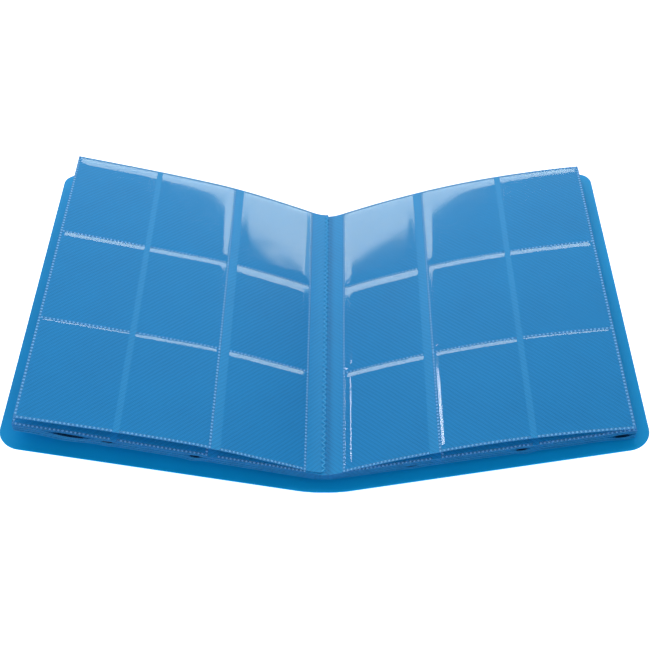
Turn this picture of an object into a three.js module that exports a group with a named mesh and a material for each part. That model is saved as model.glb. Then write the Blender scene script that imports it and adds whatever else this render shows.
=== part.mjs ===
// Side-loading trading card binder, lying open on its spine.
// Millimetres. +Z is up, X runs across the spine (front cover at -X, back cover at +X) and Y runs along it.
// The origin is under the middle of the spine panel, on the surface that the binder rests on.
import * as THREE from "three";

// Cover: one folded polypropylene board, modelled as three panels with a gap at each crease.
const COVER_LENGTH = 306;
const COVER_THICKNESS = 1.2;
const SPINE_WIDTH = 24;
const COVER_WIDTH = 237.7;
const COVER_TILT = 15.4;
const CORNER_RADIUS = 16;
const CREASE_GAP = 0.8;

// Sheets: each one is folded at the spine and gives a leaf on either side. All are the same size.
const SHEETS = 10;
const SHEET_THICKNESS = 0.35;
const SHEET_LENGTH = 291;
const SHEET_SHIFT = 0.7;
const SHEET_REACH = 236.8;
const LEAF_CORNER_RADIUS = 1;

// Where each leaf flexes, as the distance from the centreline and the height. The sheets fan out downwards.
const TOP_FLEX = { x: 4.2, z: 15 };
const SECOND_FLEX = { x: 5.4, z: 14.1 };
const FLEX_STEP = { x: 0.65, z: 0.75 };
const LEAF_START = { top: 1, other: 0.6 };

// Slope of the leaves, in degrees. The uppermost leaf of each side stands off the stack under it.
const LEAF_TILT = {
  front: { top: 18.7, other: 16.6 },
  back: { top: 15.1, other: 14.7 },
};

// Stitched part of the sheets, between the two leaves.
const TOP_FOLD_HEIGHT = 14.2;
const UPPER_FOLD_HALF_WIDTHS = [2.6, 3, 3.2];
const FOLD_TO_FLEX = 1.1;

// Pocket film: one strip for each column of three pockets, on both faces of a leaf.
const FILM_THICKNESS = 0.2;
const FILM_GAP = 0.3;
const FILM_LENGTH = 290.6;
const FILM_WIDTH = 69.6;
const FILM_STARTS = { inner: 10.2, middle: 87, outer: 162.6 };

// Binding strip: a hat section that carries the stack on the spine panel.
const STRIP_LENGTH = 276;
const STRIP_THICKNESS = 0.8;
const STRIP_TOP_HEIGHT = 6.9;
const STRIP_TOP_HALF_WIDTH = 3.6;
const STRIP_FLANGE_HALF_WIDTH = 10;
const STRIP_FLANGE_HEIGHT = 1.5;

// Zigzag stitch through the centre of the stack.
const STITCH_CENTRE = -0.45;
const STITCH_PITCH = 5.32;
const STITCH_REACH = 1.4;
const STITCH_COUNT = 54;
const THREAD_WIDTH = 0.7;
const THREAD_HEIGHT = 0.5;
const THREAD_BASE_HEIGHT = 14.7;

const BOARD = { color: 0x0b76b4, roughness: 0.45, metalness: 0 };
const SHEET = { color: 0x2f86c4, roughness: 0.55, metalness: 0 };
const FILM = { color: 0xa9cdea, roughness: 0.08, metalness: 0, transparent: true, opacity: 0.35 };
const BINDING = { color: 0x1f6fae, roughness: 0.6, metalness: 0 };
const THREAD = { color: 0x3f93d2, roughness: 0.85, metalness: 0 };

const binder = new THREE.Group();
binder.name = "trading_card_binder";

// Adds one named piece. The holder's position and tilt place it.
function addPiece(name, geometry, look, holder = binder) {
  const piece = new THREE.Mesh(geometry, new THREE.MeshStandardMaterial(look));
  piece.name = name;
  holder.add(piece);
}

// A group at a crease or flex line, turned so that its side of the binder rises by the tilt.
function tiltedHolder(side, x, z, tilt) {
  const holder = new THREE.Group();
  holder.position.set(side * x, 0, z);
  holder.rotation.y = -side * THREE.MathUtils.degToRad(tilt);
  binder.add(holder);
  return holder;
}

// A flat plate from one distance to another on the given side, with its two outer corners rounded.
function plate(side, from, to, length, shift, bottom, thickness, radius) {
  const low = shift - length / 2;
  const high = shift + length / 2;
  const turn = Math.PI / 2;
  const outline = new THREE.Shape();
  outline.moveTo(from, low);
  outline.lineTo(to - radius, low);
  outline.absarc(to - radius, low + radius, radius, -turn, 0, false);
  outline.lineTo(to, high - radius);
  outline.absarc(to - radius, high - radius, radius, 0, turn, false);
  outline.lineTo(from, high);
  outline.closePath();
  const solid = new THREE.ExtrudeGeometry(outline, { depth: thickness, bevelEnabled: false, curveSegments: 10 });
  solid.translate(0, 0, bottom);
  if (side < 0) solid.applyMatrix4(new THREE.Matrix4().makeRotationZ(Math.PI)).translate(0, 2 * shift, 0);
  return solid;
}

// A strip centred on the spine, between two heights.
function centreStrip(halfWidth, length, shift, bottom, thickness) {
  const strip = new THREE.BoxGeometry(2 * halfWidth, length, thickness);
  strip.translate(0, shift, bottom + thickness / 2);
  return strip;
}

function flexLine(number) {
  if (number === 1) return TOP_FLEX;
  return {
    x: SECOND_FLEX.x + FLEX_STEP.x * (number - 2),
    z: SECOND_FLEX.z - FLEX_STEP.z * (number - 2),
  };
}

function label(number) {
  return String(number).padStart(2, "0");
}

function addCover() {
  const spine = centreStrip(SPINE_WIDTH / 2 - CREASE_GAP, COVER_LENGTH, 0, 0, COVER_THICKNESS);
  addPiece("spine_panel", spine, BOARD);
  for (const [name, side] of [["front", -1], ["back", 1]]) {
    const crease = tiltedHolder(side, SPINE_WIDTH / 2, COVER_THICKNESS / 2, COVER_TILT);
    const panel = plate(
      side, CREASE_GAP, COVER_WIDTH, COVER_LENGTH, 0, -COVER_THICKNESS / 2, COVER_THICKNESS, CORNER_RADIUS,
    );
    addPiece(`${name}_cover_panel`, panel, BOARD, crease);
  }
}

// The hat section is drawn across the binder and extruded along it.
function addBindingStrip() {
  const foot = STRIP_FLANGE_HEIGHT;
  const wall = STRIP_THICKNESS;
  const top = STRIP_TOP_HEIGHT;
  const crown = STRIP_TOP_HALF_WIDTH;
  const half = [
    [STRIP_FLANGE_HALF_WIDTH, foot],
    [STRIP_FLANGE_HALF_WIDTH, foot + wall],
    [crown, foot + wall],
    [crown, top],
  ];
  const inner = [
    [crown - wall, top - wall],
    [crown - wall, foot],
  ];
  const mirrored = (points) => points.map(([x, z]) => [-x, z]).reverse();
  const points = [...half, ...mirrored(half), ...mirrored(inner), ...inner];
  const section = new THREE.Shape(points.map(([x, z]) => new THREE.Vector2(x, z)));
  const strip = new THREE.ExtrudeGeometry(section, { depth: STRIP_LENGTH, bevelEnabled: false });
  strip.rotateX(Math.PI / 2);
  strip.translate(0, STRIP_LENGTH / 2 + SHEET_SHIFT, 0);
  addPiece("binding_strip", strip, BINDING);
}

function addSheetFolds() {
  for (let number = 1; number <= SHEETS; number += 1) {
    const halfWidth = UPPER_FOLD_HALF_WIDTHS[number - 1] ?? flexLine(number).x - FOLD_TO_FLEX;
    const middle = TOP_FOLD_HEIGHT - FLEX_STEP.z * (number - 1);
    const bottom = middle - SHEET_THICKNESS / 2;
    const fold = centreStrip(halfWidth, SHEET_LENGTH, SHEET_SHIFT, bottom, SHEET_THICKNESS);
    addPiece(`sheet_fold_${label(number)}`, fold, SHEET);
  }
}

// The thread is one zigzag ribbon, as wide across the spine at every height.
function addStitch() {
  const nearEnd = SHEET_SHIFT - (STITCH_COUNT * STITCH_PITCH) / 2;
  const path = [];
  for (let turn = 0; turn <= 2 * STITCH_COUNT; turn += 1) {
    const x = STITCH_CENTRE + (turn % 2 ? STITCH_REACH : -STITCH_REACH);
    path.push([x, nearEnd + (turn * STITCH_PITCH) / 2]);
  }
  const right = path.map(([x, y]) => new THREE.Vector2(x + THREAD_WIDTH / 2, y));
  const left = path.map(([x, y]) => new THREE.Vector2(x - THREAD_WIDTH / 2, y));
  const ribbon = new THREE.Shape([...right, ...left.reverse()]);
  const thread = new THREE.ExtrudeGeometry(ribbon, { depth: THREAD_HEIGHT, bevelEnabled: false });
  thread.translate(0, 0, THREAD_BASE_HEIGHT);
  addPiece("stitch_thread", thread, THREAD);
}

// A strip of film over each column of pockets, on the leaf's upper and lower face.
function addPocketFilms(name, side, flex) {
  const offset = SHEET_THICKNESS / 2 + FILM_GAP;
  const faces = { upper: offset, lower: -offset - FILM_THICKNESS };
  for (const [face, bottom] of Object.entries(faces)) {
    for (const [column, start] of Object.entries(FILM_STARTS)) {
      const film = plate(
        side, start, start + FILM_WIDTH, FILM_LENGTH, SHEET_SHIFT, bottom, FILM_THICKNESS, LEAF_CORNER_RADIUS,
      );
      addPiece(`${name}_film_${face}_${column}`, film, FILM, flex);
    }
  }
}

function addLeaves() {
  for (const [name, side] of [["front", -1], ["back", 1]]) {
    for (let number = 1; number <= SHEETS; number += 1) {
      const place = number === 1 ? "top" : "other";
      const { x, z } = flexLine(number);
      const flex = tiltedHolder(side, x, z, LEAF_TILT[name][place]);
      const leaf = plate(
        side, LEAF_START[place], SHEET_REACH - x, SHEET_LENGTH, SHEET_SHIFT,
        -SHEET_THICKNESS / 2, SHEET_THICKNESS, LEAF_CORNER_RADIUS,
      );
      addPiece(`${name}_leaf_${label(number)}`, leaf, SHEET, flex);
      if (number === 1) addPocketFilms(`${name}_leaf_01`, side, flex);
    }
  }
}

addCover();
addBindingStrip();
addSheetFolds();
addStitch();
addLeaves();

export default binder;
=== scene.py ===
import math

import bmesh
import bpy
import numpy as np
from mathutils import Matrix, Quaternion, Vector


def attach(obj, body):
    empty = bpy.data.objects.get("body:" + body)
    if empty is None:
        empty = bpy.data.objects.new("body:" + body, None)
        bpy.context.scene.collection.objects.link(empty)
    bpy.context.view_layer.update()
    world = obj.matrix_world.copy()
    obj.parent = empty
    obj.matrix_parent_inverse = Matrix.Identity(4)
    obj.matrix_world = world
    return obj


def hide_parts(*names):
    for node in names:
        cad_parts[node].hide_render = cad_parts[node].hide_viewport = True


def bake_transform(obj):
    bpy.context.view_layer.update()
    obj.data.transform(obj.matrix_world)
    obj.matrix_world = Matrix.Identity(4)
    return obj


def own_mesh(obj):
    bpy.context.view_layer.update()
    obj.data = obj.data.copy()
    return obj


MM = 0.001
SIDES = {"front": -1, "back": 1}

# Cover board, with the crease on each side of the spine rounded over.
COVER_LENGTH = 306
COVER_THICKNESS = 1.2
COVER_WIDTH = 237.7
COVER_TILT = 15.4
COVER_EDGE_RADIUS = 0.45
CORNER_RADIUS = 16
CREASE_X = 12
CREASE_SPREAD = 9
CREASE_GROOVE_DEPTH = 0.22
CREASE_GROOVE_WIDTH = 0.9

# Sheets: each is folded at the spine and gives one leaf on either side.
SHEETS = 10
SHEET_THICKNESS = 0.35
SHEET_LENGTH = 291
SHEET_SHIFT = 0.7
SHEET_REACH = 236.8
NEAR_EDGE = SHEET_SHIFT - SHEET_LENGTH / 2
FAR_EDGE = SHEET_SHIFT + SHEET_LENGTH / 2

# Where the leaves flex, as the distance from the centreline and the height, and their slope in degrees.
TOP_FLEX = (4.2, 15)
SECOND_FLEX = (5.4, 14.1)
FLEX_STEP = (0.65, 0.75)
LEAF_TILT = {"front": 16.6, "back": 14.7}

# Slope of the uppermost leaf, in degrees, at distances from its flex line.
TOP_LEAF_SLOPES = {
    "front": [(-0.8, 5), (3, 15), (10, 27), (45, 24.4), (80, 20.6), (110, 16.7), (170, 15.1), (233, 14.7)],
    "back": [(-0.8, 5), (3, 15), (10, 21.4), (45, 20.3), (85, 18.8), (115, 16), (165, 11.7), (233, 6.9)],
}

# Height of the slight waves in the uppermost leaf.
TOP_LEAF_WAVE = 0.25

# A leaf starts a little before its flex line, so that it meets its fold.
LEAF_START = -0.8

# The two halves of the uppermost sheet are staggered along the spine.
# The front half laps over the back half.
STAGGER = {"front": 1.1, "back": -1.1}
STAGGER_ENDS = 45

# Folded part of the sheets at the spine.
TOP_FOLD_HEIGHT = 14.2
FOLD_TO_FLEX = 1.1
FOLD_BEND = 2.4
FOLD_STAGGER = 0.25
FOLD_REACH_GAP = {1: 0.8, 2: 0.8}
LAP_EDGE_X = 0.8
LAP_UNDER_X = -2.2
LAP_HEIGHTS = {"front": 14.76, "back": 14.1}

# Pockets: three columns of three. Each column is closed at one side and its cards go in at the other.
COLUMN_STARTS = {"inner": 0, "middle": 77.1, "outer": 150.9}
COLUMN_WIDTHS = {"inner": 70, "middle": 69}
CLOSED_SIDE = {"inner": "start", "middle": "start", "outer": "end"}
POCKET_START_X = {"front": 14.4, "back": 15.0}
ROW_WELDS = (145.1, 49.2, -47.8, -143.7)
WELD_HALF_WIDTH = 1.1
FILM_THICKNESS = 0.1
FILM_CLEARANCE = 0.03
FILM_SLOPE = 0.2
FILM_WAVE = {"inner": (0.035, 0.03, 0.04), "middle": (0.03, 0.03, 0.03), "outer": (0.03, 0.03, 0.03)}
FILM_BEND = {"across": 1.7, "along": 0.35}

# How far the film of each pocket stands off its sheet, from the far row to the near row.
PUFF = {
    "front": {"inner": (1.15, 1.15, 0.95), "middle": (1.15, 1.0, 0.7), "outer": (1.05, 0.9, 0.35)},
    "back": {"inner": (1.15, 1.15, 0.95), "middle": (1.15, 1.0, 0.8), "outer": (1.0, 0.95, 0.4)},
}
LOWER_PUFF = 0.3

# The film's waves fade in over a width that starts inside the welds, and the film dips at its open side.
FILM_LEVEL_INSET = 4
FILM_LEVEL_WIDTH = 12
FILM_MOUTH_SHARE = 0.75
FILM_MOUTH_WIDTH = 8

# Weld dots: one row along each weld.
DOT_PITCH = 3.07
DOT_LENGTH = 1.7
DOT_WIDTH = 1.9
DOT_HEIGHT = 0.14
DOT_SIDES = 8

# The lower leaves lie in groups: the last leaf of each group, and the spacing inside a group.
LEAF_GROUPS = {"front": (2, 5, 8), "back": (3, 5, 8)}
GROUP_SPACING = 0.6
LEAF_SPACING = 0.9

# Gaps between the lower leaves, where their edges part: side, which end (-1 is near),
# the last leaf above the gap, the distance from the flex line, half the length of the gap
# and how far the leaves part.
EDGE_GAPS = [
    ("front", -1, 3, 189, 28, 3.2),
    ("front", -1, 4, 94, 10, 2.4),
    ("front", -1, 4, 160, 12, 1.2),
    ("front", 1, 4, 140, 18, 1.8),
    ("front", 1, 6, 205, 13, 1.2),
    ("back", -1, 4, 146, 11, 2.5),
    ("back", -1, 5, 219, 14, 2.7),
    ("back", -1, 6, 60, 10, 0.8),
    ("back", 1, 3, 120, 16, 1.6),
    ("back", 1, 6, 200, 15, 1.3),
]
GAP_DEPTH = 26
GAP_RISE_SHARE = 0.2
# Strength of the painted shade on the leaf under each gap.
PAINTED_GAP_SHADE = 1.4

# Slight waves in the lower leaves: their height, and the distance from the flex line where they are full.
RIPPLE = 0.11
RIPPLE_FULL = 60

# Zigzag stitch.
STITCH_CENTRE = -0.45
STITCH_PITCH = 5.32
STITCH_REACH = 1.4
STITCH_COUNT = 54
THREAD_RADIUS = 0.36
THREAD_SIDES = 8
THREAD_STEPS = 6
THREAD_DIP = 0.42
DENT_DEPTH = 0.3
DENT_WIDTH = 1.0
DENT_LENGTH = 1.1
DENT_OUTSET = 1.15
# Strength of the painted shade in the stitch dents.
PAINTED_DENT_SHADE = 0.6
# Painted shade beside the lap: its strength, where it is darkest and how wide it is.
PAINTED_LAP_SHADE = 0.6
PAINTED_LAP_SHADE_X = 3.2
PAINTED_LAP_SHADE_WIDTH = 3.0

# Spacing of the embossed hatch, measured along the leaf, in metres.
FINE_HATCH_STEP = 0.00185
BROAD_HATCH_STEP = 0.0041

# How strongly the fine and the broad lines of the hatch show.
FINE_HATCH_SHARE = 0.17
BROAD_HATCH_SHARE = 0.16

# Share of the light that the film mirrors: face on, and added at grazing angles.
FILM_MIRROR = 0.03
FILM_GRAZING_MIRROR = 0.2

# Floor, in metres.
FLOOR_RADIUS = 3.2
FLOOR_SWEEP = 0.8
FLOOR_DROP = 0.0004
FLOOR_SIDES = 64

# Camera: places in metres, angles in degrees, the lens in millimetres.
CAMERA_DISTANCE = 0.9207
CAMERA_ELEVATION = 49.37
CAMERA_AZIMUTH = 1.09
CAMERA_ROLL = -0.822
CAMERA_TARGET = (0.00301, 0.01643, -0.0033)
CAMERA_LENS = 57.37
CAMERA_SHIFT = (-0.00742, 0.00923)


# ---------- shapes of the sections ----------

def line_from_slopes(start, slopes, first, last):
    """The centre line through start at distance 0: distances, x, z and slope in radians."""
    distance = np.arange(first, last + 0.2, 0.2)
    slope = np.radians(np.interp(distance, [s[0] for s in slopes], [s[1] for s in slopes]))
    mean = (slope[1:] + slope[:-1]) / 2
    step = np.diff(distance)
    x = np.concatenate([[0], np.cumsum(np.cos(mean) * step)])
    z = np.concatenate([[0], np.cumsum(np.sin(mean) * step)])
    x += start[0] - np.interp(0, distance, x)
    z += start[1] - np.interp(0, distance, z)
    return distance, x, z, slope


def flex_point(number):
    """Where a leaf flexes: the distance from the centreline and the height."""
    if number == 1:
        return TOP_FLEX
    return SECOND_FLEX[0] + FLEX_STEP[0] * (number - 2), SECOND_FLEX[1] - FLEX_STEP[1] * (number - 2)


def leaf_reach(number):
    """All sheets are one size, so a leaf that flexes further out reaches less far beyond its flex line."""
    return SHEET_REACH - flex_point(number)[0]


def leaf_line(side, number):
    reach = leaf_reach(number)
    if number == 1:
        return line_from_slopes(TOP_FLEX, TOP_LEAF_SLOPES[side], LEAF_START, reach)
    tilt = LEAF_TILT[side]
    return line_from_slopes(flex_point(number), [(0, tilt), (reach, tilt)], LEAF_START, reach)


def cover_line():
    first = CREASE_X - CREASE_SPREAD
    last = CREASE_X + CREASE_SPREAD
    slopes = [(first, 0), (CREASE_X, COVER_TILT / 2), (last, COVER_TILT)]
    return line_from_slopes((0, COVER_THICKNESS / 2), slopes, 0, CREASE_X + COVER_WIDTH)


def on_line(side, line, distance, y, height):
    """Points in metres at a distance along the line, at y, and at a height off it."""
    distance, y, height = np.broadcast_arrays(distance, y, height)
    slope = np.interp(distance, line[0], line[3])
    x = np.interp(distance, line[0], line[1]) - height * np.sin(slope)
    z = np.interp(distance, line[0], line[2]) + height * np.cos(slope)
    return MM * np.stack([SIDES[side] * x, y, z], axis=-1)


def spaced(first, last, step):
    """Evenly spaced values, both ends included."""
    return np.linspace(first, last, max(2, round(abs(last - first) / step) + 1))


def graded(first, last, centres, reach, fine, coarse):
    """Values from first to last that lie closer together around the centres."""
    lines = spaced(first, last, coarse)
    apart = np.min(np.abs(lines[:, None] - np.array(centres)), axis=1)
    close = [spaced(c - reach, c + reach, fine) for c in centres]
    lines = np.concatenate([lines[apart > reach + fine], *close])
    return np.unique(np.round(np.clip(lines, first, last), 3))


def rise(distance, width):
    """Goes from 0 to 1 over the width, with a soft start and end."""
    t = np.clip(distance / width, 0, 1)
    return t * t * (3 - 2 * t)


def slope_to(distance, width, bend):
    """Goes straight from 0 to 1 over the width, and then bends to level over a length of twice the bend."""
    distance = np.clip(distance, 0, width + bend)
    short = np.clip(distance - (width - bend), 0, None)
    return (distance - short**2 / (4 * bend)) / width


# ---------- meshes ----------

def new_mesh(name, points, faces, material, uv=None, sharp_angle=35):
    """A closed mesh with outward faces. uv holds one pair per point, in metres."""
    mesh = bpy.data.meshes.new(name)
    mesh.from_pydata(np.asarray(points).reshape(-1, 3).tolist(), [], faces)
    if uv is not None:
        layer = mesh.uv_layers.new(name="UVMap")
        corners = np.zeros(len(mesh.loops), np.int32)
        mesh.loops.foreach_get("vertex_index", corners)
        layer.data.foreach_set("uv", np.asarray(uv, np.float32)[corners].ravel())
    work = bmesh.new()
    work.from_mesh(mesh)
    bmesh.ops.recalc_face_normals(work, faces=work.faces)
    work.to_mesh(mesh)
    work.free()
    mesh.shade_smooth()
    mesh.set_sharp_from_angle(angle=math.radians(sharp_angle))
    mesh.materials.append(material)
    piece = bpy.data.objects.new(name, mesh)
    bpy.context.collection.objects.link(piece)
    return piece


def slab_parts(top, bottom, first_point=0):
    """Points and faces of a closed slab between two grids of points."""
    rows, columns = top.shape[:2]
    count = rows * columns
    index = np.arange(count).reshape(rows, columns)
    quads = np.stack([index[:-1, :-1], index[1:, :-1], index[1:, 1:], index[:-1, 1:]], axis=-1).reshape(-1, 4)
    rim = np.concatenate([index[:, 0], index[-1, 1:], index[-2::-1, -1], index[0, -2:0:-1]])
    after = np.roll(rim, -1)
    walls = np.stack([after, rim, rim + count, after + count], axis=-1)
    faces = np.concatenate([quads, quads[:, ::-1] + count, walls]) + first_point
    points = np.concatenate([top.reshape(-1, 3), bottom.reshape(-1, 3)])
    return points, faces.tolist()


def slabs(name, layers, material, edge=None):
    """One piece from several closed slabs. Each layer is (top, bottom, distance, y).

    The edge material, if there is one, is for the cut edges.
    """
    points, faces, uv, walls = [], [], [], []
    for top, bottom, distance, y in layers:
        made, quads = slab_parts(top, bottom, sum(len(p) for p in points))
        points.append(made)
        faces += quads
        flat_faces = 2 * (top.shape[0] - 1) * (top.shape[1] - 1)
        walls += [0] * flat_faces + [1] * (len(quads) - flat_faces)
        flat = MM * np.stack([a.ravel() for a in np.broadcast_arrays(distance, y)], axis=-1)
        uv.append(np.concatenate([flat, flat]))
    piece = new_mesh(name, np.concatenate(points), faces, material, np.concatenate(uv))
    if edge:
        piece.data.materials.append(edge)
        piece.data.polygons.foreach_set("material_index", walls)
    return piece


# ---------- placing pieces on the frame ----------

def label(side, number):
    return f"{side}_leaf_{number:02d}"


def ride_leaf(piece, side, number):
    """The piece moves with its leaf."""
    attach(piece, label(side, number))
    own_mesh(piece)
    return piece


# ---------- cover ----------

def edge_profile(inset):
    """Half the board's thickness at an inset from its rounded edge."""
    radius = COVER_EDGE_RADIUS
    inset = np.clip(inset, 0, radius)
    return COVER_THICKNESS / 2 - radius + np.sqrt(radius**2 - (radius - inset) ** 2)


def add_cover(side, material):
    """Half of the cover, from the centreline to the outer edge. It bends at the crease."""
    line = cover_line()
    end = CREASE_X + COVER_WIDTH
    bend_end = CREASE_X + 2 * CREASE_SPREAD
    near_edge = np.array([0, 0.04, 0.14, 0.28, COVER_EDGE_RADIUS])
    distance = np.concatenate([
        spaced(0, bend_end, 0.45),
        spaced(bend_end + 4, end - CORNER_RADIUS, 6),
        end - CORNER_RADIUS + CORNER_RADIUS * np.sin(np.linspace(0.08, 1.35, 16)),
        end - near_edge[::-1],
    ])[:, None]
    into_corner = np.clip(distance - (end - CORNER_RADIUS), 0, CORNER_RADIUS)
    half_length = COVER_LENGTH / 2 - CORNER_RADIUS + np.sqrt(CORNER_RADIUS**2 - into_corner**2)
    middle = np.linspace(-1, 1, 61)[None, :] * (half_length - 2 * COVER_EDGE_RADIUS)
    edge = near_edge[None, :]
    y = np.concatenate([-half_length + edge, middle, (half_length - edge)[:, ::-1]], axis=1)
    inset = np.minimum(half_length - np.abs(y), end - distance)
    half = edge_profile(inset)
    groove = CREASE_GROOVE_DEPTH * np.exp(-((distance - CREASE_X) / CREASE_GROOVE_WIDTH) ** 2)
    top = on_line(side, line, distance, y, half)
    bottom = on_line(side, line, distance, y, groove - half)
    piece = slabs(f"{side}_cover_board", [(top, bottom, distance, y)], material)
    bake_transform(piece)
    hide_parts(f"{side}_cover_panel", "spine_panel")


# ---------- sheets ----------

def stagger(side, distance):
    """How far the uppermost sheet is shifted along the spine, less away from the spine."""
    return STAGGER[side] * np.clip(1 - np.asarray(distance) / STAGGER_ENDS, 0, 1)


def grouping(side, number):
    """How far a leaf lies off its even place in the stack, because the leaves cling together in groups."""
    between = (LEAF_SPACING * (SHEETS - 2) - GROUP_SPACING * (SHEETS - 5)) / len(LEAF_GROUPS[side])
    depth = sum(between if above in LEAF_GROUPS[side] else GROUP_SPACING for above in range(2, number))
    return LEAF_SPACING * (number - 2) - depth


def ripple(side, number, distance, y):
    """Height of a leaf off its plane: slight waves, and the gaps where the lower leaves part."""
    outward = np.clip(np.asarray(distance) / RIPPLE_FULL, 0, 1)
    turn = 0.35 * number + (0.9 if side == "front" else 0)
    height = outward * (
        grouping(side, number) + RIPPLE * np.sin(distance / 19 + turn) * np.cos(y / 41 + turn)
    )
    for gap_side, end, above, centre, half_length, size in EDGE_GAPS:
        if gap_side == side:
            share = GAP_RISE_SHARE if number <= above else GAP_RISE_SHARE - 1
            height = height + size * share * gap_opening(end, centre, half_length, distance, y)
    return height


def gap_opening(end, centre, half_length, distance, y):
    """How far open a gap is at each point, from 0 to 1."""
    edge = NEAR_EDGE if end < 0 else FAR_EDGE
    along = np.clip((distance - centre) / half_length, -1, 1)
    return np.cos(along * math.pi / 2) ** 2 * np.exp(-np.abs(y - edge) / GAP_DEPTH)


def painted_gap_shade(side, number, distance, y):
    """Painted shade on the leaf under a gap, from 0 to 1: its colour is darkened where the gap lies in
    shadow.
    """
    painted_shade = 0 * distance + 0 * y
    for gap_side, end, above, centre, half_length, _ in EDGE_GAPS:
        if gap_side == side and number == above + 1:
            painted_shade = painted_shade + PAINTED_GAP_SHADE * gap_opening(end, centre, half_length, distance, y)
    return np.minimum(painted_shade, 1)


def leaf_height(side, number, distance, y):
    """Height of the leaf's middle surface off its centre line."""
    if number == 1:
        turn = 1 if side == "front" else 0
        return TOP_LEAF_WAVE * np.sin(distance / 33) * np.sin(y / 52 + turn)
    return ripple(side, number, distance, y)


def add_leaf_sheet(side, number, material, edge):
    line = leaf_line(side, number)
    distance = np.concatenate([spaced(LEAF_START, 16, 0.8), spaced(19, leaf_reach(number), 3)])[:, None]
    y = graded(NEAR_EDGE, FAR_EDGE, (NEAR_EDGE, FAR_EDGE), 12, 3, 6)[None, :]
    height = leaf_height(side, number, distance, y)
    shifted = y + (stagger(side, distance) if number == 1 else 0)
    top = on_line(side, line, distance, shifted, height + SHEET_THICKNESS / 2)
    bottom = on_line(side, line, distance, shifted, height - SHEET_THICKNESS / 2)
    piece = slabs(f"{label(side, number)}_sheet", [(top, bottom, distance, y)], material, edge)
    # Painted shade: darker under the gaps, and beside the lap on the back leaf.
    painted_shade = painted_gap_shade(side, number, distance, y)
    if (side, number) == ("back", 1):
        painted_shade = painted_lap_shade(distance + TOP_FLEX[0]) + 0 * y
    store_painted_shade(piece, painted_shade)
    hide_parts(label(side, number))
    ride_leaf(piece, side, number)


def stitch_dents(x, y):
    """Depth, from 0 to 1, of the dents that the thread pulls into the sheet in the bends of the zigzag. It
    also sets the painted shade in them.
    """
    first = SHEET_SHIFT - STITCH_COUNT * STITCH_PITCH / 2
    depth = 0
    for offset, phase in ((-STITCH_REACH, 0.5), (STITCH_REACH, 0)):
        turns = (y - first) / STITCH_PITCH - phase
        along = (turns - np.round(turns)) * STITCH_PITCH
        inside = (turns > -0.5) & (turns < STITCH_COUNT + 0.5)
        across = x - STITCH_CENTRE - DENT_OUTSET * offset
        reach = (across / DENT_WIDTH) ** 2 + (along / DENT_LENGTH) ** 2
        depth = depth + np.exp(-reach) * inside
    return depth


def store_painted_shade(piece, values):
    """Stores the painted shade of a sheet at each point of its grid, for the sheet's material."""
    layer = piece.data.attributes.new("painted_shade", "FLOAT", "POINT")
    layer.data.foreach_set("value", np.tile(values.ravel(), 2).astype(np.float32))


def painted_lap_shade(x):
    """Painted shade on the sheet beside the lap, where it dips, from 0 to 1."""
    return PAINTED_LAP_SHADE * np.exp(-(((x - PAINTED_LAP_SHADE_X) / PAINTED_LAP_SHADE_WIDTH) ** 2))


def add_top_fold(side, material, edge):
    """One half of the uppermost sheet's fold, from its leaf across the centreline to its own edge."""
    sign = SIDES[side]
    line = leaf_line(side, 1)
    outer_x, outer_z = line[1][0], line[2][0]
    inner_x = LAP_EDGE_X if side == "front" else LAP_UNDER_X
    across = spaced(sign * outer_x, inner_x, 0.35)[:, None]
    y = spaced(NEAR_EDGE, FAR_EDGE, 0.6)[None, :]
    share = np.abs(across - sign * outer_x) / abs(inner_x - sign * outer_x)
    height = outer_z + (LAP_HEIGHTS[side] - outer_z) * rise(share, 1)
    dents = stitch_dents(across, y + STAGGER[side])
    middle = height - DENT_DEPTH * dents
    # Painted shade in the stitch dents.
    painted_shade = PAINTED_DENT_SHADE * dents
    # On the back half, painted shade beside the lap is added to it.
    if side == "back":
        painted_shade = 1 - (1 - painted_shade) * (1 - painted_lap_shade(across))
    x, along = np.broadcast_arrays(across, y + STAGGER[side])
    half = SHEET_THICKNESS / 2
    top = MM * np.stack([x, along, middle + half], axis=-1)
    bottom = MM * np.stack([x, along, middle - half], axis=-1)
    piece = slabs(f"sheet_fold_01_{side}", [(top, bottom, across, y)], material, edge)
    store_painted_shade(piece, painted_shade)
    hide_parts("sheet_fold_01")
    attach(piece, "spine")


def fold_half(side, number):
    """Half of a lower fold as rows of (x, z, slope), from the centreline to the flex line."""
    flex_x, flex_z = flex_point(number)
    low = TOP_FOLD_HEIGHT - FLEX_STEP[1] * (number - 1)
    tilt = math.radians(LEAF_TILT[side])
    end_x = flex_x - FOLD_REACH_GAP.get(number, 0.1)
    end_z = flex_z - (flex_x - end_x) * math.tan(tilt)
    flat_x = max(0.5, flex_x - FOLD_TO_FLEX - FOLD_BEND)
    x = np.concatenate([np.linspace(0, flat_x, 3)[:-1], np.linspace(flat_x, end_x, 12)])
    run = end_x - flat_x
    t = np.clip((x - flat_x) / run, 0, 1)
    z = low + (end_z - low) * rise(t, 1) + run * math.tan(tilt) * (t**3 - t * t)
    return x, z, np.arctan(np.gradient(z, x))


def add_lower_fold(side, number, material, edge):
    """Half of a lower fold, from the centreline to its leaf."""
    x, z, slope = (values[:, None] for values in fold_half(side, number))
    y = spaced(NEAR_EDGE, FAR_EDGE, 6)[None, :] + FOLD_STAGGER * math.sin(2.3 * number)
    half = SHEET_THICKNESS / 2
    grids = []
    for height in (half, -half):
        across = SIDES[side] * (x - height * np.sin(slope))
        grid = np.broadcast_arrays(across, y, z + height * np.cos(slope))
        grids.append(MM * np.stack(grid, axis=-1))
    piece = slabs(f"sheet_fold_{number:02d}_{side}", [(grids[0], grids[1], x, y)], material, edge)
    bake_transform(piece)
    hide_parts(f"sheet_fold_{number:02d}")


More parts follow.
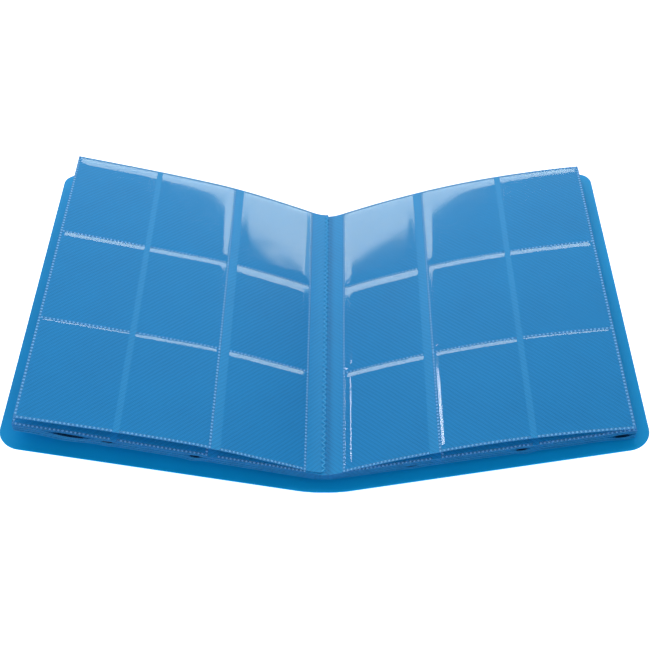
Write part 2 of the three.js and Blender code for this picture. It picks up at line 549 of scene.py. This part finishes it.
# ---------- pockets ----------

def column_span(side, number, column):
    """Where a column of pockets starts and ends, as distances from the leaf's flex line."""
    start = POCKET_START_X[side] - flex_point(number)[0] + COLUMN_STARTS[column]
    return start, start + COLUMN_WIDTHS[column] if column in COLUMN_WIDTHS else leaf_reach(number)


def film_height(side, number, column, distance, y, puffs):
    """How far the film stands off the sheet.

    It is welded round three sides of each pocket and open at the fourth.
    """
    start, end = column_span(side, number, column)
    closed_at_start = CLOSED_SIDE[column] == "start"
    from_closed = (distance - start if closed_at_start else end - distance) - 2 * WELD_HALF_WIDTH
    from_open = end - distance if closed_at_start else distance - start
    height = 0
    for row in range(3):
        from_far = ROW_WELDS[row] - WELD_HALF_WIDTH - y
        from_near = y - ROW_WELDS[row + 1] - WELD_HALF_WIDTH
        width = puffs[row] / FILM_SLOPE
        lift = (
            slope_to(from_far, width, FILM_BEND["along"])
            * slope_to(from_near, width, FILM_BEND["along"])
            * slope_to(from_closed, width, FILM_BEND["across"])
        )
        turn = 2.1 * row + start / 31 + (1.3 if side == "front" else 0)
        middle = rise(from_open - FILM_LEVEL_INSET / 2, FILM_LEVEL_WIDTH)
        for inset in (from_far, from_near, from_closed):
            middle = middle * rise(inset - FILM_LEVEL_INSET, FILM_LEVEL_WIDTH)
        broad_wave = np.sin(distance / 15 + turn) * np.sin(y / 19 + 2 * turn)
        wave = broad_wave + 0.6 * np.sin((distance - y) / 9 + turn)
        height = height + puffs[row] * lift * (1 + FILM_WAVE[column][row] * middle * wave)
    return height * (FILM_MOUTH_SHARE + (1 - FILM_MOUTH_SHARE) * rise(from_open, FILM_MOUTH_WIDTH))


def mark_welds(piece, side, number, material):
    """Gives the weld material to the faces of the film that lie in a weld."""
    mesh = piece.data
    mesh.materials.append(material)
    uv = np.zeros(2 * len(mesh.loops), np.float32)
    mesh.uv_layers[0].data.foreach_get("uv", uv)
    first = np.zeros(len(mesh.polygons), np.int32)
    mesh.polygons.foreach_get("loop_start", first)
    corners = uv.reshape(-1, 2) / MM
    middle = (corners[first] + corners[first + 2]) / 2
    distance, y = middle[:, 0], middle[:, 1]
    welded = np.min(np.abs(y[:, None] - np.array(ROW_WELDS)), axis=1) < WELD_HALF_WIDTH
    for column in COLUMN_STARTS:
        start, end = column_span(side, number, column)
        from_closed = distance - start if CLOSED_SIDE[column] == "start" else end - distance
        welded |= (from_closed > -0.1) & (from_closed < 2 * WELD_HALF_WIDTH)
    mesh.polygons.foreach_set("material_index", welded.astype(np.int32))


def add_pocket_films(side, number, face, film, weld):
    """The three strips of pocket film on one face of a leaf."""
    line = leaf_line(side, number)
    sign = 1 if face == "upper" else -1
    layers = []
    for column in COLUMN_STARTS:
        start, end = column_span(side, number, column)
        distance = graded(start, end, (start, end), 10, 0.5, 4)[:, None]
        y = graded(NEAR_EDGE + 0.1, FAR_EDGE - 0.1, ROW_WELDS, 6.5, 0.55, 4)[None, :]
        puffs = PUFF[side][column] if number == 1 and face == "upper" else (LOWER_PUFF,) * 3
        base = leaf_height(side, number, distance, y)
        clear = SHEET_THICKNESS / 2 + FILM_CLEARANCE + film_height(side, number, column, distance, y, puffs)
        shifted = y + (stagger(side, distance) if number == 1 else 0)
        top = on_line(side, line, distance, shifted, base + sign * (clear + FILM_THICKNESS))
        bottom = on_line(side, line, distance, shifted, base + sign * clear)
        layers.append((top, bottom, distance, y))
    piece = slabs(f"{label(side, number)}_films_{face}", layers, film)
    mark_welds(piece, side, number, weld)
    if number == 1:
        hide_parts(*[f"{label(side, 1)}_film_{face}_{column}" for column in COLUMN_STARTS])
    ride_leaf(piece, side, number)


def add_flat_films(side, number, material):
    """Films on both faces of a leaf inside the stack, lying flat on it."""
    line = leaf_line(side, number)
    layers = []
    for column in COLUMN_STARTS:
        start, end = column_span(side, number, column)
        distance = spaced(start, end, 5)[:, None]
        y = graded(NEAR_EDGE + 0.1, FAR_EDGE - 0.1, (NEAR_EDGE, FAR_EDGE), 12, 4, 10)[None, :]
        base = leaf_height(side, number, distance, y)
        for sign in (1, -1):
            clear = SHEET_THICKNESS / 2 + FILM_CLEARANCE
            top = on_line(side, line, distance, y, base + sign * (clear + FILM_THICKNESS / 2))
            bottom = on_line(side, line, distance, y, base + sign * clear)
            layers.append((top, bottom, distance, y))
    piece = slabs(f"{label(side, number)}_films", layers, material)
    ride_leaf(piece, side, number)


def dot_places(side, number):
    """Distance, y, and half the size each way, of every weld dot on one face of a leaf."""
    half_along, half_across = DOT_LENGTH / 2, DOT_WIDTH / 2
    places = []
    for column in COLUMN_STARTS:
        start, end = column_span(side, number, column)
        weld = start + WELD_HALF_WIDTH if CLOSED_SIDE[column] == "start" else end - WELD_HALF_WIDTH
        for y in np.arange(ROW_WELDS[3] + DOT_PITCH, ROW_WELDS[0] - DOT_PITCH / 2, DOT_PITCH):
            places.append((weld, y, half_across, half_along))
        for row_weld in ROW_WELDS:
            for distance in np.arange(start + WELD_HALF_WIDTH, end - half_along, DOT_PITCH):
                places.append((distance, row_weld, half_along, half_across))
    return np.array(places)


def add_weld_dots(side, number, face, material):
    """Low domes pressed into the film along the welds."""
    line = leaf_line(side, number)
    sign = 1 if face == "upper" else -1
    places = dot_places(side, number)[:, :, None, None]
    corners = np.arange(DOT_SIDES) * 2 * math.pi / DOT_SIDES
    rings = np.array([(1, 0), (0.85, 0.65 * DOT_HEIGHT), (0.5, DOT_HEIGHT)])
    share, lift = rings[None, :, 0, None], rings[None, :, 1, None]
    distance = places[:, 0] + places[:, 2] * share * np.cos(corners)
    y = places[:, 1] + places[:, 3] * share * np.sin(corners)
    base = leaf_height(side, number, places[:, 0], places[:, 1])
    height = base + sign * (SHEET_THICKNESS / 2 + FILM_CLEARANCE + FILM_THICKNESS / 2 + lift)
    shifted = y + (stagger(side, distance) if number == 1 else 0)
    points = on_line(side, line, distance, shifted, height).reshape(-1, 3)
    faces = []
    for first in range(0, len(points), len(rings) * DOT_SIDES):
        for ring in range(len(rings) - 1):
            for corner in range(DOT_SIDES):
                a = first + ring * DOT_SIDES + corner
                b = first + ring * DOT_SIDES + (corner + 1) % DOT_SIDES
                faces.append((a, b, b + DOT_SIDES, a + DOT_SIDES))
        last = first + (len(rings) - 1) * DOT_SIDES
        faces.append(tuple(range(first + DOT_SIDES - 1, first - 1, -1)))
        faces.append(tuple(range(last, last + DOT_SIDES)))
    piece = new_mesh(f"{label(side, number)}_welds_{face}", points, faces, material, sharp_angle=80)
    ride_leaf(piece, side, number)


# ---------- stitching ----------

def add_thread(material):
    """One zigzag thread. Each leg lies on the sheet and dips at both ends, where it goes through."""
    first = SHEET_SHIFT - STITCH_COUNT * STITCH_PITCH / 2
    path = []
    for leg in range(2 * STITCH_COUNT):
        ends = [-STITCH_REACH, STITCH_REACH] if leg % 2 == 0 else [STITCH_REACH, -STITCH_REACH]
        for step in range(THREAD_STEPS):
            t = step / THREAD_STEPS
            x = STITCH_CENTRE + ends[0] + (ends[1] - ends[0]) * t
            y = first + (leg + t) * STITCH_PITCH / 2
            surface = LAP_HEIGHTS["front"] + 0.05 if x < LAP_EDGE_X else LAP_HEIGHTS["back"] + 0.15
            dip = THREAD_DIP * max(0, 1 - 3.2 * min(t, 1 - t)) ** 2
            path.append((x, y, surface + SHEET_THICKNESS / 2 + 0.6 * THREAD_RADIUS - dip))
    path = np.array(path)
    ahead = np.gradient(path, axis=0)
    ahead /= np.linalg.norm(ahead, axis=1, keepdims=True)
    sideways = np.cross(ahead, (0, 0, 1))
    sideways /= np.linalg.norm(sideways, axis=1, keepdims=True)
    upward = np.cross(sideways, ahead)
    corners = (np.arange(THREAD_SIDES) * 2 * math.pi / THREAD_SIDES)[None, :, None]
    ring = np.cos(corners) * sideways[:, None] + np.sin(corners) * upward[:, None]
    points = MM * (path[:, None] + THREAD_RADIUS * ring)
    faces = []
    for i in range(len(path) - 1):
        first_point, next_point = THREAD_SIDES * i, THREAD_SIDES * (i + 1)
        for c in range(THREAD_SIDES):
            after = (c + 1) % THREAD_SIDES
            faces.append((first_point + c, first_point + after, next_point + after, next_point + c))
    faces.append(tuple(range(THREAD_SIDES - 1, -1, -1)))
    faces.append(tuple(THREAD_SIDES * (len(path) - 1) + c for c in range(THREAD_SIDES)))
    piece = new_mesh("stitching", points.reshape(-1, 3), faces, material, sharp_angle=80)
    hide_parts("stitch_thread")
    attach(piece, "spine")


# ---------- materials ----------

def start_material(name):
    material = bpy.data.materials.new(name)
    material.use_nodes = True
    nodes = material.node_tree.nodes
    nodes.clear()
    return material, nodes, material.node_tree.links, nodes.new("ShaderNodeOutputMaterial")


def math_node(nodes, links, operation, first, second=None):
    """A Math node whose inputs are numbers or other nodes' outputs."""
    node = nodes.new("ShaderNodeMath")
    node.operation = operation
    for socket, value in zip(node.inputs, (first, second)):
        if value is None:
            continue
        if isinstance(value, (int, float)):
            socket.default_value = value
        else:
            links.new(value, socket)
    return node.outputs[0]


def noise(nodes, links, scale, detail, coordinate="Object"):
    place = nodes.new("ShaderNodeTexCoord")
    node = nodes.new("ShaderNodeTexNoise")
    node.inputs["Scale"].default_value = scale
    node.inputs["Detail"].default_value = detail
    links.new(place.outputs[coordinate], node.inputs["Vector"])
    return node.outputs["Fac"]


def ramp(nodes, links, value, stops):
    node = nodes.new("ShaderNodeValToRGB")
    elements = node.color_ramp.elements
    while len(elements) < len(stops):
        elements.new(0.5)
    for element, (position, color) in zip(elements, stops):
        element.position = position
        element.color = (*color, 1)
    links.new(value, node.inputs["Fac"])
    return node.outputs["Color"]


def remap(nodes, links, value, low, high):
    node = nodes.new("ShaderNodeMapRange")
    node.inputs["To Min"].default_value = low
    node.inputs["To Max"].default_value = high
    links.new(value, node.inputs["Value"])
    return node.outputs["Result"]


def bump(nodes, links, height, distance, strength=1.0):
    node = nodes.new("ShaderNodeBump")
    node.inputs["Distance"].default_value = distance
    node.inputs["Strength"].default_value = strength
    links.new(height, node.inputs["Height"])
    return node.outputs["Normal"]


def board_material():
    """Smooth polypropylene board with a faint moulded grain."""
    material, nodes, links, output = start_material("cover_board")
    shader = nodes.new("ShaderNodeBsdfPrincipled")
    cloud = noise(nodes, links, 14, 2)
    links.new(ramp(nodes, links, cloud, [(0.3, (0.002, 0.315, 0.71)), (0.7, (0.003, 0.35, 0.77))]),
              shader.inputs["Base Color"])
    grain = noise(nodes, links, 1400, 3)
    links.new(remap(nodes, links, grain, 0.38, 0.5), shader.inputs["Roughness"])
    links.new(bump(nodes, links, grain, 0.00004, 0.5), shader.inputs["Normal"])
    shader.inputs["Specular IOR Level"].default_value = 0.1
    links.new(shader.outputs[0], output.inputs[0])
    return material


def stripes(nodes, links, position, step):
    """A sine wave along the position, of the given step in metres."""
    turns = math_node(nodes, links, "MULTIPLY", position, 2 * math.pi / step)
    return math_node(nodes, links, "SINE", turns)


def twill(nodes, links):
    """Embossed hatch, from 0 to 1: fine crossing lines, and broader ones along one diagonal."""
    place = nodes.new("ShaderNodeTexCoord")
    split = nodes.new("ShaderNodeSeparateXYZ")
    links.new(place.outputs["UV"], split.inputs[0])
    across, along = split.outputs["X"], split.outputs["Y"]
    one_way = math_node(nodes, links, "ADD", across, along)
    other_way = math_node(nodes, links, "SUBTRACT", across, along)
    fine = math_node(nodes, links, "ADD", stripes(nodes, links, one_way, FINE_HATCH_STEP),
                     stripes(nodes, links, other_way, FINE_HATCH_STEP))
    sway = math_node(nodes, links, "MULTIPLY", noise(nodes, links, 120, 1, "UV"), 0.5 * BROAD_HATCH_STEP)
    broad = stripes(nodes, links, math_node(nodes, links, "ADD", one_way, sway), BROAD_HATCH_STEP)
    both = math_node(nodes, links, "ADD", math_node(nodes, links, "MULTIPLY", fine, FINE_HATCH_SHARE),
                     math_node(nodes, links, "MULTIPLY", broad, BROAD_HATCH_SHARE))
    return math_node(nodes, links, "ADD", both, 0.5)


def sheet_material():
    """Matte polypropylene sheet, embossed with a fine diagonal hatch. The stored painted shade darkens its
    colour.
    """
    material, nodes, links, output = start_material("sheet")
    shader = nodes.new("ShaderNodeBsdfPrincipled")
    hatch = twill(nodes, links)
    cloud = noise(nodes, links, 22, 2)
    blend = math_node(nodes, links, "ADD", math_node(nodes, links, "MULTIPLY", hatch, 0.8),
                      math_node(nodes, links, "MULTIPLY", cloud, 0.2))
    painted_shade = nodes.new("ShaderNodeAttribute")
    painted_shade.attribute_name = "painted_shade"
    left = math_node(nodes, links, "SUBTRACT", 1, painted_shade.outputs["Fac"])
    blend = math_node(nodes, links, "MULTIPLY", blend, math_node(nodes, links, "MAXIMUM", left, 0))
    # The darkest stops are reached only where painted shade darkens the sheet, down to near-black under the
    # gaps.
    stops = [
        (0, (0.001, 0.02, 0.06)),
        (0.07, (0.005, 0.14, 0.39)),
        (0.25, (0.012, 0.24, 0.575)),
        (0.9, (0.019, 0.34, 0.755)),
    ]
    links.new(ramp(nodes, links, blend, stops), shader.inputs["Base Color"])
    links.new(remap(nodes, links, cloud, 0.5, 0.6), shader.inputs["Roughness"])
    links.new(bump(nodes, links, hatch, 0.00006, 0.6), shader.inputs["Normal"])
    shader.inputs["Specular IOR Level"].default_value = 0.16
    links.new(shader.outputs[0], output.inputs[0])
    return material


def edge_material():
    """Cut edge of a sheet, deeper in colour than its faces."""
    material, nodes, links, output = start_material("sheet_edge")
    shader = nodes.new("ShaderNodeBsdfPrincipled")
    cloud = noise(nodes, links, 180, 3)
    links.new(ramp(nodes, links, cloud, [(0.3, (0.004, 0.1, 0.29)), (0.7, (0.012, 0.17, 0.42))]),
              shader.inputs["Base Color"])
    links.new(remap(nodes, links, cloud, 0.4, 0.6), shader.inputs["Roughness"])
    shader.inputs["Specular IOR Level"].default_value = 0.25
    links.new(shader.outputs[0], output.inputs[0])
    return material


def film_material():
    """Clear pocket film: light goes straight through, less the share that its surface mirrors."""
    material, nodes, links, output = start_material("pocket_film")
    clear = nodes.new("ShaderNodeBsdfTransparent")
    clear.inputs["Color"].default_value = (0.955, 0.99, 1, 1)
    mirror = nodes.new("ShaderNodeBsdfGlossy")
    mirror.inputs["Color"].default_value = (1, 1, 1, 1)
    haze = noise(nodes, links, 60, 3)
    links.new(remap(nodes, links, haze, 0.05, 0.11), mirror.inputs["Roughness"])
    links.new(bump(nodes, links, noise(nodes, links, 28, 1), 0.0004, 0.35), mirror.inputs["Normal"])
    facing = nodes.new("ShaderNodeLayerWeight")
    facing.inputs["Blend"].default_value = 0.5
    grazing = math_node(nodes, links, "POWER", facing.outputs["Facing"], 5.0)
    grazing = math_node(nodes, links, "MULTIPLY", grazing, FILM_GRAZING_MIRROR)
    share = math_node(nodes, links, "ADD", grazing, FILM_MIRROR)
    mix = nodes.new("ShaderNodeMixShader")
    links.new(share, mix.inputs["Fac"])
    links.new(clear.outputs[0], mix.inputs[1])
    links.new(mirror.outputs[0], mix.inputs[2])
    links.new(mix.outputs[0], output.inputs[0])
    return material


def weld_material(name, opacity):
    """Pressed film, whitened where it was welded."""
    material, nodes, links, output = start_material(name)
    shader = nodes.new("ShaderNodeBsdfPrincipled")
    shader.inputs["Alpha"].default_value = opacity
    shader.inputs["Specular IOR Level"].default_value = 0.03
    cloud = noise(nodes, links, 900, 2)
    links.new(ramp(nodes, links, cloud, [(0.3, (0.13, 0.42, 0.79)), (0.7, (0.18, 0.48, 0.85))]),
              shader.inputs["Base Color"])
    links.new(remap(nodes, links, cloud, 0.3, 0.5), shader.inputs["Roughness"])
    links.new(shader.outputs[0], output.inputs[0])
    return material


def thread_material():
    """Spun thread, with its ply showing as fine ridges."""
    material, nodes, links, output = start_material("thread")
    shader = nodes.new("ShaderNodeBsdfPrincipled")
    ply = nodes.new("ShaderNodeTexWave")
    place = nodes.new("ShaderNodeTexCoord")
    links.new(place.outputs["Object"], ply.inputs["Vector"])
    ply.bands_direction = "DIAGONAL"
    ply.inputs["Scale"].default_value = 900
    ply.inputs["Distortion"].default_value = 1.5
    links.new(ramp(nodes, links, ply.outputs["Fac"], [(0.2, (0.06, 0.46, 0.86)), (0.8, (0.09, 0.54, 0.94))]),
              shader.inputs["Base Color"])
    links.new(bump(nodes, links, ply.outputs["Fac"], 0.00008), shader.inputs["Normal"])
    shader.inputs["Roughness"].default_value = 0.8
    links.new(shader.outputs[0], output.inputs[0])
    return material


def binding_material():
    """Extruded strip, drawn lengthwise."""
    material, nodes, links, output = start_material("binding")
    shader = nodes.new("ShaderNodeBsdfPrincipled")
    place = nodes.new("ShaderNodeTexCoord")
    stretch = nodes.new("ShaderNodeMapping")
    stretch.inputs["Scale"].default_value = (900, 12, 900)
    lines = nodes.new("ShaderNodeTexNoise")
    lines.inputs["Scale"].default_value = 1
    lines.inputs["Detail"].default_value = 2
    links.new(place.outputs["Object"], stretch.inputs["Vector"])
    links.new(stretch.outputs[0], lines.inputs["Vector"])
    stops = [(0.3, (0.01, 0.13, 0.33)), (0.7, (0.014, 0.155, 0.38))]
    links.new(ramp(nodes, links, lines.outputs["Fac"], stops), shader.inputs["Base Color"])
    links.new(remap(nodes, links, lines.outputs["Fac"], 0.45, 0.65), shader.inputs["Roughness"])
    links.new(bump(nodes, links, lines.outputs["Fac"], 0.00005), shader.inputs["Normal"])
    links.new(shader.outputs[0], output.inputs[0])
    return material


# ---------- scene ----------

def add_floor():
    """A pale round floor whose rim sweeps up."""
    sweep = np.linspace(0.1, 1.3, 10)
    flat = np.linspace(0, FLOOR_RADIUS, 17)
    radii = np.concatenate([flat, FLOOR_RADIUS + FLOOR_SWEEP * np.sin(sweep)])
    heights = np.concatenate([0 * flat, FLOOR_SWEEP * (1 - np.cos(sweep))]) - FLOOR_DROP
    turns = np.linspace(0, 2 * math.pi, FLOOR_SIDES + 1)[:-1]
    points = [(0, 0, -FLOOR_DROP)]
    for radius, height in zip(radii[1:], heights[1:]):
        points += [(radius * math.cos(turn), radius * math.sin(turn), height) for turn in turns]
    faces = [(0, 1 + i, 1 + (i + 1) % FLOOR_SIDES) for i in range(FLOOR_SIDES)]
    for ring in range(len(radii) - 2):
        first = 1 + FLOOR_SIDES * ring
        for i in range(FLOOR_SIDES):
            a, b = first + i, first + (i + 1) % FLOOR_SIDES
            faces.append((a, a + FLOOR_SIDES, b + FLOOR_SIDES, b))
    mesh = bpy.data.meshes.new("studio_floor")
    mesh.from_pydata(points, [], faces)
    mesh.shade_smooth()
    material, nodes, links, output = start_material("studio_floor")
    shader = nodes.new("ShaderNodeBsdfPrincipled")
    shader.inputs["Base Color"].default_value = (0.92, 0.92, 0.92, 1)
    shader.inputs["Roughness"].default_value = 0.9
    shader.inputs["Specular IOR Level"].default_value = 0
    shader.inputs["Emission Color"].default_value = (1, 1, 1, 1)
    shader.inputs["Emission Strength"].default_value = 0.85
    links.new(shader.outputs[0], output.inputs[0])
    mesh.materials.append(material)
    floor = bpy.data.objects.new("studio_floor", mesh)
    bpy.context.collection.objects.link(floor)


def add_softbox(
    name, place, aim, width, height, radiance,
    color=(1, 1, 1), mirrored=False, roll=0, shape="RECTANGLE",
):
    """An area light of a given radiance, for mirror reflections only or for everything else."""
    data = bpy.data.lights.new(name, "AREA")
    data.shape = shape
    data.size = width
    data.size_y = height
    data.color = color
    area = width * height * (math.pi / 4 if shape == "ELLIPSE" else 1)
    data.energy = radiance * math.pi * area
    lamp = bpy.data.objects.new(name, data)
    lamp.location = place
    turn = (Vector(aim) - Vector(place)).to_track_quat("-Z", "Y") @ Quaternion((0, 0, 1), math.radians(roll))
    lamp.rotation_euler = turn.to_euler()
    lamp.visible_camera = False
    lamp.visible_diffuse = not mirrored
    lamp.visible_glossy = mirrored
    bpy.context.collection.objects.link(lamp)


def add_lights():
    """Softboxes behind the binder that the film mirrors, and two for the light on everything else."""
    add_softbox("back_round", (-0.03, 1.0, 0.45), (-0.03, 0, 0.45), 1.8, 0.7, 4.2, color=(1, 1, 0.78),
                mirrored=True, shape="ELLIPSE")
    add_softbox("back_low", (0.125, 1.0, 0.25), (0.125, 0, 0.25), 1.65, 0.5, 1.4, color=(0.7, 1, 1),
                mirrored=True)
    add_softbox("back_left", (-1.18, 1.0, 1.01), (-1.18, 0, 1.01), 0.46, 0.16, 9, mirrored=True, roll=39)
    add_softbox("overhead", (-0.15, 0.6, 0.95), (-0.15, 0.6, 0), 1.6, 1.0, 1.4)
    add_softbox("front", (0, -2.6, 1.7), (0, 0, 0), 3.0, 2.0, 1.5)
    world = bpy.data.worlds.new("studio")
    world.use_nodes = True
    world.node_tree.nodes["Background"].inputs["Color"].default_value = (1, 1, 1, 1)
    world.node_tree.nodes["Background"].inputs["Strength"].default_value = 0.42
    world.cycles_visibility.glossy = False
    bpy.context.scene.world = world


def add_camera():
    azimuth = math.radians(CAMERA_AZIMUTH)
    elevation = math.radians(CAMERA_ELEVATION)
    roll = math.radians(CAMERA_ROLL)
    level = math.cos(elevation)
    back = Vector((math.sin(azimuth) * level, -math.cos(azimuth) * level, math.sin(elevation)))
    right = Vector((math.cos(azimuth), math.sin(azimuth), 0))
    upward = back.cross(right)
    rolled_right = right * math.cos(roll) + upward * math.sin(roll)
    rolled_up = upward * math.cos(roll) - right * math.sin(roll)
    data = bpy.data.cameras.new("camera")
    data.lens = CAMERA_LENS
    data.sensor_width = 36
    data.shift_x, data.shift_y = CAMERA_SHIFT
    data.clip_start = 0.01
    data.clip_end = 20
    camera = bpy.data.objects.new("camera", data)
    turn = Matrix((rolled_right, rolled_up, back)).transposed().to_4x4()
    camera.matrix_world = Matrix.Translation(Vector(CAMERA_TARGET) + CAMERA_DISTANCE * back) @ turn
    bpy.context.collection.objects.link(camera)
    bpy.context.scene.camera = camera


def add_binder(nodes):
    board, film, thread = board_material(), film_material(), thread_material()
    sheet, edge = sheet_material(), edge_material()
    welded_film, weld_dot = weld_material("welded_film", 0.2), weld_material("weld_dot", 1.0)
    for side in SIDES:
        add_cover(side, board)
        add_top_fold(side, sheet, edge)
        for number in range(1, SHEETS + 1):
            add_leaf_sheet(side, number, sheet, edge)
        for number, face in ((1, "upper"), (1, "lower"), (2, "upper")):
            add_pocket_films(side, number, face, film, welded_film)
            add_weld_dots(side, number, face, weld_dot)
        for number in range(3, SHEETS + 1):
            add_flat_films(side, number, film)
        for number in range(2, SHEETS + 1):
            add_lower_fold(side, number, sheet, edge)
    add_thread(thread)
    nodes["binding_strip"].data.materials.clear()
    nodes["binding_strip"].data.materials.append(binding_material())


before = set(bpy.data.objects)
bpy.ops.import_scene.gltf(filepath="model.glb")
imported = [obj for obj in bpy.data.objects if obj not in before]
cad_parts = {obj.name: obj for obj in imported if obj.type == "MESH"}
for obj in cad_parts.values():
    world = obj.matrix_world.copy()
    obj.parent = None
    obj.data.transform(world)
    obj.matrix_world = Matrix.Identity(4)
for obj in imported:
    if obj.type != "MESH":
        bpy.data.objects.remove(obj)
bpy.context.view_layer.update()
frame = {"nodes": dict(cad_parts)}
add_camera()
add_lights()
add_floor()
add_binder(frame["nodes"])
bpy.context.scene.view_settings.view_transform = "Standard"
